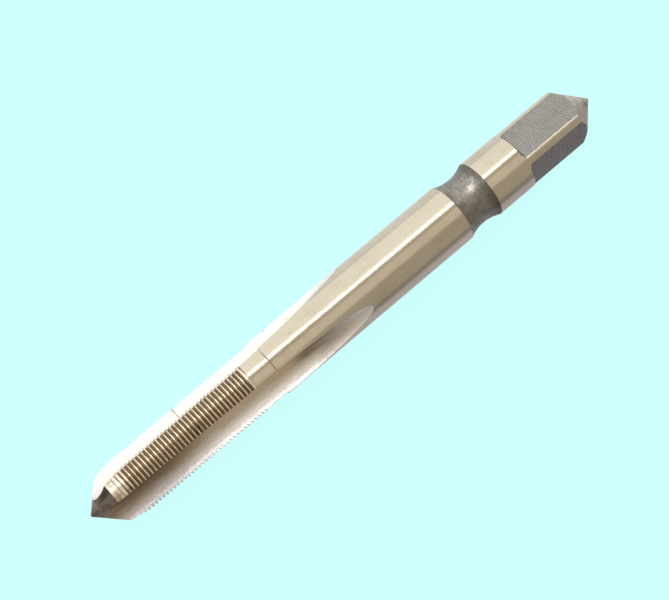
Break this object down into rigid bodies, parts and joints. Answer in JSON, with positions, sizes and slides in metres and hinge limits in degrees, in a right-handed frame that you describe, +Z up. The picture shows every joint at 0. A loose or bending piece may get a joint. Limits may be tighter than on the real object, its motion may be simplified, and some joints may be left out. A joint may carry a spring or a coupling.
{
  "type": "thread tap",
  "caption": "Straight-fluted right-hand tap that cuts a fine internal thread, with a pointed lead, a plain round shank, a relief neck and a square drive end.",
  "frame": {"origin": "on the floor, under the middle of the tap's length and under its axis", "axes": "+X along the tap's axis from the cutting point to the driving square, +Z up through the middle of one thread land, +Y across"},
  "size_m": [0.0724, 0.0071, 0.0071],
  "materials": {
    "tool_steel": "ground and polished tool steel, matt in the neck and cross-ground on the square"
  },
  "bodies": {
    "root": {"tap": "tool_steel"}
  },
  "joints": []
}
